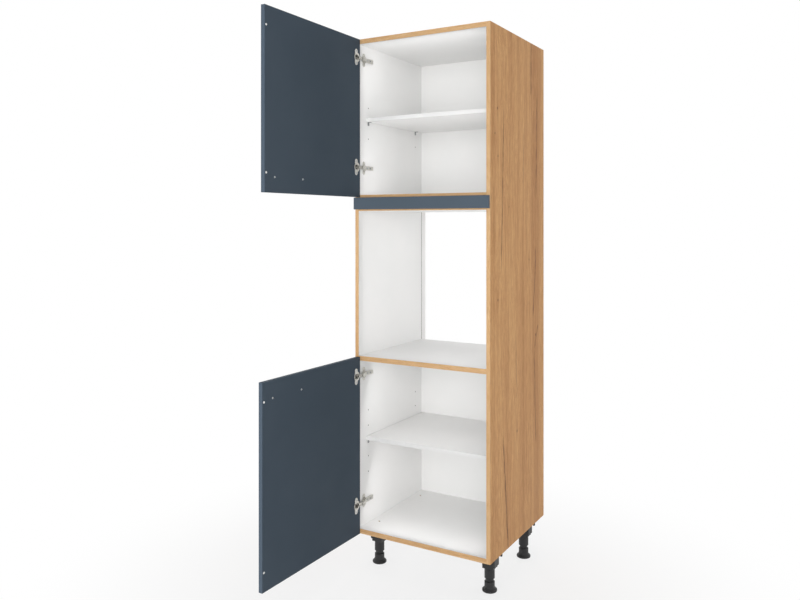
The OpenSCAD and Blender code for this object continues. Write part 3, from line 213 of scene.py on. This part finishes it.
def build_foil():
    """Pressed foil on board: a pebbled surface and a trace of cloudiness."""
    tree, source, target = new_group("foil", [
        ("Vector", "vector", None), ("Grain", "value", 900.0),
    ], [("Height", "value"), ("Cloud", "value")])
    pebbles = noise(tree, source.outputs["Vector"], source.outputs["Grain"], 2.0, 0.6)
    tree.links.new(pebbles, target.inputs["Height"])
    cloud = noise(tree, source.outputs["Vector"], 2.6, 3.0, 0.55)
    tree.links.new(ramp(tree, cloud, 0.3, 0.7), target.inputs["Cloud"])
    return tree


def build_chipboard():
    """A raw sawn edge of chipboard: flakes, with fine grit over them."""
    tree, source, target = new_group("chipboard", [("Vector", "vector", None)],
                                     [("Color", "color"), ("Height", "value")])
    flakes = add(tree, "TexVoronoi", {"Vector": source.outputs["Vector"], "Scale": 420.0,
                                      "Randomness": 1.0})
    fine = noise(tree, source.outputs["Vector"], 1500.0, 2.0)
    shade = math_node(tree, "MULTIPLY_ADD", fine, 0.4,
                      math_node(tree, "MULTIPLY", add(
                          tree, "SeparateColor", {0: flakes.outputs["Color"]}).outputs[0], 0.6))
    color = blend_colors(tree, shade, shown(150, 112, 72), shown(206, 172, 128))
    tree.links.new(color, target.inputs["Color"])
    tree.links.new(shade, target.inputs["Height"])
    return tree


def build_edge_rounding():
    """Where a surface turns over an edge, from the shading normal of a rounded copy."""
    tree, source, target = new_group("edge_rounding", [
        ("Vector", "vector", None), ("Radius", "value", 0.001), ("Patchiness", "value", 60.0),
    ], [("Mask", "value"), ("Normal", "vector")])
    rounded = add(tree, "Bevel", {"Radius": source.outputs["Radius"]}, samples=4)
    tree.links.new(rounded.outputs[0], target.inputs["Normal"])
    flat = add(tree, "NewGeometry")
    lean = add(tree, "VectorMath", {0: rounded.outputs[0], 1: flat.outputs["Normal"]},
               operation="DOT_PRODUCT").outputs["Value"]
    edge = ramp(tree, lean, 0.75, 0.985, 1.0, 0.0)
    patches = noise(tree, source.outputs["Vector"], source.outputs["Patchiness"], 3.0, 0.6)
    tree.links.new(math_node(tree, "MULTIPLY", edge, ramp(tree, patches, 0.35, 0.65, 0.25, 1.0)),
                   target.inputs["Mask"])
    return tree


def build_plate_marks():
    """Fine scratches and dull patches of plated or moulded parts."""
    tree, source, target = new_group("plate_marks", [
        ("Vector", "vector", None), ("Size", "value", 120.0),
    ], [("Dull", "value"), ("Height", "value")])
    dull = noise(tree, source.outputs["Vector"], source.outputs["Size"], 3.0, 0.6)
    scratch = noise(tree, stretched(tree, source.outputs["Vector"], (1.0, 0.08, 1.0)), 2600.0, 2.0)
    tree.links.new(ramp(tree, dull, 0.3, 0.7), target.inputs["Dull"])
    tree.links.new(scratch, target.inputs["Height"])
    return tree


def build_hollow_shade():
    """Painted shade in corners and sockets, where little open space lies around a point."""
    tree, source, target = new_group("hollow_shade", [("Reach", "value", 0.005)],
                                     [("Mask", "value")])
    open_share = add(tree, "AmbientOcclusion", {"Distance": source.outputs["Reach"]}, samples=8)
    tree.links.new(ramp(tree, open_share.outputs["AO"], 0.15, 0.72, 1.0, 0.0),
                   target.inputs["Mask"])
    return tree


oak_grain = build_oak_grain()
split = build_split()
knot = build_knot()
foil = build_foil()
chipboard = build_chipboard()
edge_rounding = build_edge_rounding()
plate_marks = build_plate_marks()
hollow_shade = build_hollow_shade()


# ---------- finishes ----------

def new_finish(name):
    """A material with its Principled shader, and the object's own coordinates in metres."""
    material = bpy.data.materials.new(name)
    material.use_nodes = True
    tree = material.node_tree
    tree.nodes.clear()
    shader = tree.nodes.new("ShaderNodeBsdfPrincipled")
    output = tree.nodes.new("ShaderNodeOutputMaterial")
    tree.links.new(shader.outputs[0], output.inputs["Surface"])
    place = tree.nodes.new("ShaderNodeTexCoord")
    return material, tree, shader, place


def bump(tree, shader, height, strength, distance, edge=None):
    """Surface relief, over the softened edges where an edge group's rounded normal is given."""
    made = add(tree, "Bump", {"Height": height, "Strength": strength, "Distance": distance})
    if edge:
        tree.links.new(edge.outputs["Normal"], made.inputs["Normal"])
    tree.links.new(made.outputs["Normal"], shader.inputs["Normal"])


OAK_LIGHT = shown(220, 172, 115)
OAK_MIDDLE = shown(202, 150, 94)
OAK_DARK = shown(168, 114, 63)
OAK_SHAKE = shown(92, 55, 28)
BORE_PAINTED_SHADE = shown(104, 96, 86)
WHITE = shown(243, 242, 241)
WHITE_SHADE = shown(239, 239, 238)
WHITE_EDGE = shown(228, 228, 227)
LOW_GLOSS = 0.2
SATIN_GLOSS = 0.1


def oak_on(tree, vector, pores):
    return use_group(tree, oak_grain, {
        "Vector": vector, "Light": OAK_LIGHT, "Middle": OAK_MIDDLE, "Dark": OAK_DARK,
        "Pores": pores})


def make_side_panel():
    """Oak decor on the outer face, white foil inside, raw board on the sawn edges, painted shade in
    the bores.
    """
    material, tree, shader, place = new_finish("side_panel_oak_and_white")
    at = place.outputs["Object"]
    parts = add(tree, "SeparateXYZ", {0: at})
    # the left panel shows the same decor upside down
    turned = math_node(tree, "SUBTRACT", DECOR_HEIGHT, parts.outputs["Z"])
    upright = math_node(tree, "GREATER_THAN", parts.outputs["X"], 0.0)
    height = add(tree, "Mix", {0: upright, 2: turned, 3: parts.outputs["Z"]}).outputs[0]
    decor = add(tree, "CombineXYZ", {"X": parts.outputs["X"], "Y": parts.outputs["Y"],
                                     "Z": height}).outputs[0]
    oak = oak_on(tree, decor, 1.0)
    color = oak.outputs["Color"]
    sway = noise(tree, stretched(tree, decor, (0.0, 0.0, 1.7)), 1.0, 2.0)
    heart = math_node(tree, "ABSOLUTE", math_node(tree, "SUBTRACT", math_node(
        tree, "MULTIPLY_ADD", sway, HEART_SWAY, HEART_DEPTH - HEART_SWAY / 2), parts.outputs["Y"]))
    color = blend_colors(tree, ramp(tree, heart, 0.01, 0.055, 0.42, 0.0), color, OAK_DARK)
    for low_depth, high_depth, low, high, half_width, strength in SPLITS:
        line = use_group(tree, split, {
            "Vector": decor, "Low Depth": low_depth, "High Depth": high_depth, "Low": low,
            "High": high, "Half Width": half_width})
        color = blend_colors(tree, math_node(
            tree, "MULTIPLY", line.outputs["Halo"], strength * HALO_SHARE), color, OAK_DARK)
        color = blend_colors(tree, math_node(
            tree, "MULTIPLY", line.outputs["Mask"], strength), color, OAK_SHAKE)
    for depth, rise, size in KNOTS:
        dot = use_group(tree, knot, {"Vector": decor, "Depth": depth, "Height": rise,
                                     "Size": size})
        color = blend_colors(tree, math_node(
            tree, "MULTIPLY", dot.outputs["Halo"], KNOT_HALO), color, OAK_DARK)
        color = blend_colors(tree, math_node(
            tree, "MULTIPLY", dot.outputs["Mask"], KNOT_DARKNESS), color, OAK_SHAKE)
    inside = use_group(tree, foil, {"Vector": at})
    white = blend_colors(tree, inside.outputs["Cloud"], WHITE, WHITE_SHADE)
    raw = use_group(tree, chipboard, {"Vector": at})
    across = math_node(tree, "ABSOLUTE", parts.outputs["X"])
    turn = math_node(tree, "ABSOLUTE", add(
        tree, "SeparateXYZ", {0: place.outputs["Normal"]}).outputs["X"])
    from_rim = math_node(tree, "MINIMUM", math_node(
        tree, "MINIMUM", parts.outputs["Y"],
        math_node(tree, "SUBTRACT", SIDE_DEPTH, parts.outputs["Y"])), math_node(
        tree, "MINIMUM", math_node(tree, "SUBTRACT", parts.outputs["Z"], SIDE_LOW),
        math_node(tree, "SUBTRACT", SIDE_HIGH, parts.outputs["Z"])))
    # painted shade: bores and grooves away from the rim darker than the raw board
    raw_or_shaded_bore = blend_colors(tree, ramp(tree, from_rim, 0.002, 0.004), raw.outputs["Color"],
                             BORE_PAINTED_SHADE)
    outer = math_node(tree, "GREATER_THAN", across, OUTER_HALF_WIDTH - FACE_TOLERANCE)
    inner = math_node(tree, "LESS_THAN", across, INNER_HALF_WIDTH + FACE_TOLERANCE)
    face = math_node(tree, "GREATER_THAN", turn, 0.5)
    base = blend_colors(tree, math_node(tree, "MULTIPLY", inner, face), raw_or_shaded_bore, white)
    base = blend_colors(tree, math_node(tree, "MULTIPLY", outer, face), base, color)
    shader.inputs["Specular IOR Level"].default_value = LOW_GLOSS
    tree.links.new(base, shader.inputs["Base Color"])
    oak_face = math_node(tree, "MULTIPLY", outer, face)
    rough = add(tree, "Mix", {0: oak_face, 2: 0.42, 3: oak.outputs["Roughness"]})
    tree.links.new(rough.outputs[0], shader.inputs["Roughness"])
    height = add(tree, "Mix", {0: oak_face, 2: inside.outputs["Height"], 3: oak.outputs["Height"]})
    bump(tree, shader, height.outputs[0], 0.25, 0.0003)
    return material


def make_oak_band(name, along_x):
    """Oak edge band, with its grain along the panel."""
    material, tree, shader, place = new_finish(name)
    at = place.outputs["Object"]
    if along_x:
        parts = add(tree, "SeparateXYZ", {0: at})
        at = add(tree, "CombineXYZ", {"X": parts.outputs["Z"], "Y": parts.outputs["Y"],
                                      "Z": parts.outputs["X"]}).outputs[0]
    oak = use_group(tree, oak_grain, {
        "Vector": at, "Light": shown(234, 198, 152), "Middle": shown(224, 183, 135),
        "Dark": shown(202, 154, 103), "Pores": 0.8})
    shader.inputs["Specular IOR Level"].default_value = LOW_GLOSS
    tree.links.new(oak.outputs["Color"], shader.inputs["Base Color"])
    tree.links.new(oak.outputs["Roughness"], shader.inputs["Roughness"])
    bump(tree, shader, oak.outputs["Height"], 0.25, 0.0003)
    return material


def make_white_board(name, raw_axes):
    """White foil on both faces; the sawn edges across raw_axes show the board."""
    material, tree, shader, place = new_finish(name)
    at = place.outputs["Object"]
    skin = use_group(tree, foil, {"Vector": at})
    edge_turn = use_group(tree, edge_rounding, {"Vector": at, "Radius": 0.0010})
    color = blend_colors(tree, skin.outputs["Cloud"], WHITE, WHITE_SHADE)
    # darker along the rounded edges, in patches
    color = blend_colors(tree, math_node(tree, "MULTIPLY", edge_turn.outputs["Mask"], 0.5), color,
                         WHITE_EDGE)
    if raw_axes:
        raw = use_group(tree, chipboard, {"Vector": at})
        turn = add(tree, "SeparateXYZ", {0: place.outputs["Normal"]})
        for axis, sign in raw_axes:
            facing = math_node(tree, "GREATER_THAN", math_node(
                tree, "MULTIPLY", turn.outputs[axis], sign), 0.5)
            color = blend_colors(tree, facing, color, raw.outputs["Color"])
    tree.links.new(color, shader.inputs["Base Color"])
    tree.links.new(ramp(tree, skin.outputs["Cloud"], 0.0, 1.0, 0.38, 0.46),
                   shader.inputs["Roughness"])
    bump(tree, shader, skin.outputs["Height"], 0.12, 0.0002, edge_turn)
    return material


def make_slate(name, color, cloudy_color, edge_color, lit_band_color=None):
    """Slate satin foil, with painted highlights where it rolls over the edges and on the upright
    edge bands.
    """
    material, tree, shader, place = new_finish(name)
    at = place.outputs["Object"]
    skin = use_group(tree, foil, {"Vector": at, "Grain": 1400.0})
    edge_turn = use_group(tree, edge_rounding, {"Vector": at, "Radius": 0.0012})
    base = blend_colors(tree, skin.outputs["Cloud"], color, cloudy_color)
    if lit_band_color:
        # painted highlight: the upright edge faces paler, as lit from the side
        turn = math_node(tree, "ABSOLUTE", add(
            tree, "SeparateXYZ", {0: place.outputs["Normal"]}).outputs["Y"])
        base = blend_colors(tree, math_node(tree, "GREATER_THAN", turn, 0.5), base, lit_band_color)
    # painted highlight along the rounded edges
    base = blend_colors(tree, math_node(tree, "MULTIPLY", edge_turn.outputs["Mask"], 0.35), base,
                        edge_color)
    shader.inputs["Specular IOR Level"].default_value = SATIN_GLOSS
    tree.links.new(base, shader.inputs["Base Color"])
    tree.links.new(ramp(tree, skin.outputs["Cloud"], 0.0, 1.0, 0.52, 0.60),
                   shader.inputs["Roughness"])
    bump(tree, shader, skin.outputs["Height"], 0.10, 0.0002, edge_turn)
    return material


def make_metal(name, color, roughness, dull_by=0.14, size=160.0, painted_shade=0.85, reach=0.005):
    """Plated metal: dull patches, fine scratches, painted highlights on the edges and painted shade
    in its sockets.
    """
    material, tree, shader, place = new_finish(name)
    at = place.outputs["Object"]
    marks = use_group(tree, plate_marks, {"Vector": at, "Size": size})
    edge_turn = use_group(tree, edge_rounding, {"Vector": at, "Radius": 0.0005})
    hollow_darkening = use_group(tree, hollow_shade, {"Reach": reach})
    darker = tuple(value * 0.82 for value in color[:3]) + (1.0,)
    base = blend_colors(tree, marks.outputs["Dull"], color, darker)
    # painted highlight: edges lightened towards near white
    base = blend_colors(tree, math_node(tree, "MULTIPLY", edge_turn.outputs["Mask"], 0.55), base,
                        shown(246, 245, 241))
    # painted shade: corners and sockets darkened towards near black
    base = blend_colors(tree, math_node(tree, "MULTIPLY", hollow_darkening.outputs["Mask"], painted_shade), base,
                        shown(36, 34, 31))
    tree.links.new(base, shader.inputs["Base Color"])
    shader.inputs["Metallic"].default_value = 1.0
    tree.links.new(ramp(tree, marks.outputs["Dull"], 0.0, 1.0, roughness, roughness + dull_by),
                   shader.inputs["Roughness"])
    bump(tree, shader, marks.outputs["Height"], 0.08, 0.0001, edge_turn)
    return material


def make_moulded(name, color, edge_color, roughness, grain):
    """Moulded plastic or rubber with a fine eroded texture."""
    material, tree, shader, place = new_finish(name)
    at = place.outputs["Object"]
    skin = use_group(tree, foil, {"Vector": at, "Grain": grain})
    edge_turn = use_group(tree, edge_rounding, {"Vector": at, "Radius": 0.0008})
    base = blend_colors(tree, math_node(tree, "MULTIPLY", edge_turn.outputs["Mask"], 0.5), color,
                        edge_color)
    tree.links.new(base, shader.inputs["Base Color"])
    tree.links.new(ramp(tree, skin.outputs["Cloud"], 0.0, 1.0, roughness, roughness + 0.12),
                   shader.inputs["Roughness"])
    bump(tree, shader, skin.outputs["Height"], 0.3, 0.0002, edge_turn)
    return material


def make_beech():
    material, tree, shader, place = new_finish("beech_dowel")
    parts = add(tree, "SeparateXYZ", {0: place.outputs["Object"]})
    at = add(tree, "CombineXYZ", {"X": parts.outputs["Z"], "Y": parts.outputs["Y"],
                                  "Z": parts.outputs["X"]}).outputs[0]
    grain = use_group(tree, oak_grain, {
        "Vector": at, "Light": shown(226, 196, 158), "Middle": shown(214, 180, 138),
        "Dark": shown(190, 150, 108), "Pores": 0.3})
    tree.links.new(grain.outputs["Color"], shader.inputs["Base Color"])
    tree.links.new(grain.outputs["Roughness"], shader.inputs["Roughness"])
    bump(tree, shader, grain.outputs["Height"], 0.2, 0.0002)
    return material


OUTER_HALF_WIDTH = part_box("right_side")[1].x
INNER_HALF_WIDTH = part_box("right_side")[0].x
SIDE_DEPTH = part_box("right_side")[1].y
SIDE_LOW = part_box("right_side")[0].z
SIDE_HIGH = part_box("right_side")[1].z
DECOR_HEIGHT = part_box("right_side")[0].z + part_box("right_side")[1].z
FACE_TOLERANCE = 0.0006
# the darker heart band of the decor, how far it sways, and how dark shakes and knots are
HEART_DEPTH = 0.485
HEART_SWAY = 0.09
HALO_SHARE = 0.55
KNOT_HALO = 0.35
KNOT_DARKNESS = 0.8
# shakes in the oak decor: depths at the lower and upper end, heights of both, half width, strength
SPLITS = (
    (0.417, 0.417, 1.930, 2.190, 0.0026, 0.80),
    (0.474, 0.489, 1.510, 1.985, 0.0032, 0.78),
    (0.104, 0.128, 1.215, 1.870, 0.0020, 0.80),
    (0.440, 0.478, 1.010, 1.330, 0.0036, 0.66),
    (0.455, 0.500, 0.885, 0.990, 0.0028, 0.70),
    (0.476, 0.452, 0.470, 0.900, 0.0030, 0.62),
    (0.176, 0.120, 0.120, 0.610, 0.0036, 0.82),
    (0.262, 0.250, 0.690, 0.980, 0.0016, 0.50),
    (0.330, 0.338, 1.560, 1.800, 0.0015, 0.45),
)
# pin knots: depth, height, size
KNOTS = (
    (0.263, 0.586, 0.0050), (0.072, 1.125, 0.0046), (0.067, 1.851, 0.0050), (0.044, 1.754, 0.0040),
    (0.072, 1.670, 0.0036), (0.395, 1.265, 0.0034), (0.180, 1.480, 0.0030), (0.470, 0.945, 0.0050),
)

finishes = {
    "side": make_side_panel(),
    "band_upright": make_oak_band("oak_band_upright", False),
    "band_level": make_oak_band("oak_band_level", True),
    "fixed_board": make_white_board("white_board_fixed", ((0, 1), (0, -1), (1, 1))),
    "shelf_board": make_white_board("white_board_shelf", ()),
    "back_board": make_white_board("white_back_board", ((2, 1), (2, -1), (0, 1), (0, -1))),
    # one slate foil in two copies: the doors' copy darker as painted shade, the fascia strip's
    # paler as painted light
    "slate": make_slate("slate_door_shaded", shown(68, 79, 90), shown(65, 76, 87), shown(106, 118, 130),
                        shown(88, 101, 115)),
    "strip": make_slate("slate_strip_lit", shown(89, 101, 113), shown(86, 98, 109),
                        shown(122, 134, 146)),
    "nickel": make_metal("nickel_plate", shown(232, 230, 223), 0.22),
    "cup": make_metal("nickel_cup", shown(236, 234, 228), 0.24, painted_shade=1.0, reach=0.014),
    "zinc": make_metal("zinc_plate", shown(222, 224, 226), 0.26),
    "support": make_metal("support_steel", shown(168, 170, 172), 0.34),
    "handle": make_metal("brushed_handle", shown(206, 205, 201), 0.30, 0.10, 60.0),
    "plastic": make_moulded("black_plastic", shown(30, 30, 31), shown(66, 66, 67), 0.42, 1800.0),
    "bumper": make_moulded("bumper_white", shown(238, 238, 236), shown(244, 244, 243), 0.35, 900.0),
    "beech": make_beech(),
}

by_slot = {
    "oak_outside_white_inside": "side", "white_board": "fixed_board", "white_back": "back_board",
    "oak_band": "band_upright", "slate_front": "slate", "bumper_rubber": "bumper",
    "beech": "beech", "black_plastic": "plastic", "handle_metal": "handle",
    "nickel_plate": "nickel", "support_grey": "support", "zinc_plate": "zinc",
}
by_node = {"panel_edging": "band_level", "fascia_strip": "strip", "upper_shelf": "shelf_board",
           "lower_shelf": "shelf_board", "upper_cups": "cup", "lower_cups": "cup"}

for name, piece in nodes.items():
    finish = finishes[by_node.get(name, by_slot[slots[name]])]
    piece.data.materials.clear()
    piece.data.materials.append(finish)


# ---------- stage, lamps and camera ----------

def make_floor():
    """A pale floor that fades into the white of the background and keeps the object's shadow."""
    bpy.ops.mesh.primitive_circle_add(vertices=96, radius=40.0, fill_type="NGON")
    floor = bpy.context.object
    floor.name = "floor"
    material = bpy.data.materials.new("floor_pale")
    material.use_nodes = True
    tree = material.node_tree
    tree.nodes.clear()
    place = add(tree, "NewGeometry")
    away = add(tree, "VectorMath", {0: place.outputs["Position"]}, operation="LENGTH")
    far = ramp(tree, away.outputs["Value"], 0.4, 1.6, 0.76, 1.0)
    rays = add(tree, "LightPath")
    seen = math_node(tree, "MAXIMUM", rays.outputs["Is Camera Ray"], rays.outputs["Is Glossy Ray"])
    lit = add(tree, "BsdfDiffuse", {"Color": (0.86, 0.86, 0.86, 1.0)})
    white = add(tree, "Emission", {"Color": (1.0, 1.0, 1.0, 1.0), "Strength": 1.0})
    mixed = add(tree, "MixShader", {
        0: math_node(tree, "MULTIPLY", far, seen), 1: lit.outputs[0], 2: white.outputs[0]})
    output = tree.nodes.new("ShaderNodeOutputMaterial")
    tree.links.new(mixed.outputs[0], output.inputs["Surface"])
    floor.data.materials.append(material)


def make_world(strength):
    """Even light on the object, and plain white where the camera or a reflection sees past it."""
    world = bpy.data.worlds.new("studio")
    bpy.context.scene.world = world
    world.use_nodes = True
    tree = world.node_tree
    tree.nodes.clear()
    rays = add(tree, "LightPath")
    seen = math_node(tree, "MAXIMUM", rays.outputs["Is Camera Ray"], rays.outputs["Is Glossy Ray"])
    ambient = add(tree, "Background", {"Color": (1.0, 1.0, 1.0, 1.0), "Strength": strength})
    white = add(tree, "Background", {"Color": (1.0, 1.0, 1.0, 1.0), "Strength": 1.0})
    mixed = add(tree, "MixShader", {0: seen, 1: ambient.outputs[0], 2: white.outputs[0]})
    output = tree.nodes.new("ShaderNodeOutputWorld")
    tree.links.new(mixed.outputs[0], output.inputs["Surface"])


def softbox(name, at, towards, width, height, watts):
    """A soft rectangular lamp that isn't seen itself, in the picture or in reflections."""
    lamp = bpy.data.lights.new(name, "AREA")
    lamp.shape = "RECTANGLE"
    lamp.size = width
    lamp.size_y = height
    lamp.energy = watts
    holder = bpy.data.objects.new(name, lamp)
    bpy.context.scene.collection.objects.link(holder)
    holder.location = at
    aim = Vector(towards) - Vector(at)
    holder.rotation_euler = aim.to_track_quat("-Z", "Y").to_euler()
    holder.visible_camera = False
    holder.visible_glossy = False


WORLD_STRENGTH = 0.24
AIM = Vector((0.0, 0.3, 1.1))

make_floor()
make_world(WORLD_STRENGTH)
# the studio lamps all round, at the middle of the unit: name, place, width, height, watts
for name, at, width, height, watts in (
        ("front", (0.1, -4.6, 1.5), 2.5, 2.5, 50.0),
        ("front_right", (2.4, -4.0, 1.5), 2.0, 2.5, 71.0),
        ("right", (3.8, -2.0, 1.6), 2.0, 2.5, 11.0),
        ("rear_right", (3.4, 2.4, 1.7), 2.0, 2.5, 32.0),
        ("left", (-4.0, -1.6, 1.6), 2.0, 2.5, 34.0),
        ("rear_left", (-3.0, 3.0, 1.7), 2.0, 2.5, 48.0),
        ("rear", (0.0, 4.6, 1.5), 2.5, 2.5, 30.0),
        ("overhead", (0.0, 0.0, 4.8), 2.4, 2.4, 40.0)):
    softbox(name, at, AIM, width, height, watts)
# small lamps in the openings keep the white interior as bright as the open front:
# boards below and above, gaps to them, aim downward for each metre inward, watts
FRONT_OF_CARCASS = 0.006
OPENING_LAMP_WIDTH = 0.48
for below, above, gap_below, gap_above, fall, watts in (
        ("upper_shelf", "top_panel", 0.07, 0.02, 0.0, 0.39),
        ("upper_floor", "upper_shelf", 0.02, 0.07, 0.0, 0.38),
        ("niche_floor", "niche_top", 0.04, 0.04, 0.0, 0.40),
        ("lower_shelf", "niche_floor", 0.07, 0.02, 0.35, 0.36),
        ("bottom_panel", "lower_shelf", 0.02, 0.07, 0.35, 0.37)):
    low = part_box(below)[1].z + gap_below
    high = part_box(above)[0].z - gap_above
    # a tilted lamp sits deeper, so that its upper edge stays behind a closed door
    lean = (high - low) / 2 * math.sin(math.atan(fall))
    opening = Vector((0.0, FRONT_OF_CARCASS + lean, (low + high) / 2))
    inward = opening + Vector((0.0, 1.0, -fall))
    softbox("over_" + below, opening, inward, OPENING_LAMP_WIDTH, high - low, watts)

# the photo's view: a level camera, its horizon and focal length in pixels of an 800 x 600 picture
PHOTO_WIDTH = 800
FOCAL_PIXELS = 771.8
HORIZON_ROW = 222.4
MIDDLE_ROW = 300
CAMERA_PLACE = (1.464, -2.631, 1.419)
CAMERA_YAW = math.radians(30.534)
camera_data = bpy.data.cameras.new("camera")
camera_data.sensor_width = 36.0
camera_data.lens = FOCAL_PIXELS / PHOTO_WIDTH * camera_data.sensor_width
camera_data.shift_y = (HORIZON_ROW - MIDDLE_ROW) / PHOTO_WIDTH
camera = bpy.data.objects.new("camera", camera_data)
bpy.context.scene.collection.objects.link(camera)
camera.location = CAMERA_PLACE
camera.rotation_euler = (math.pi / 2, 0.0, CAMERA_YAW)
bpy.context.scene.camera = camera
bpy.context.scene.view_settings.view_transform = "Standard"
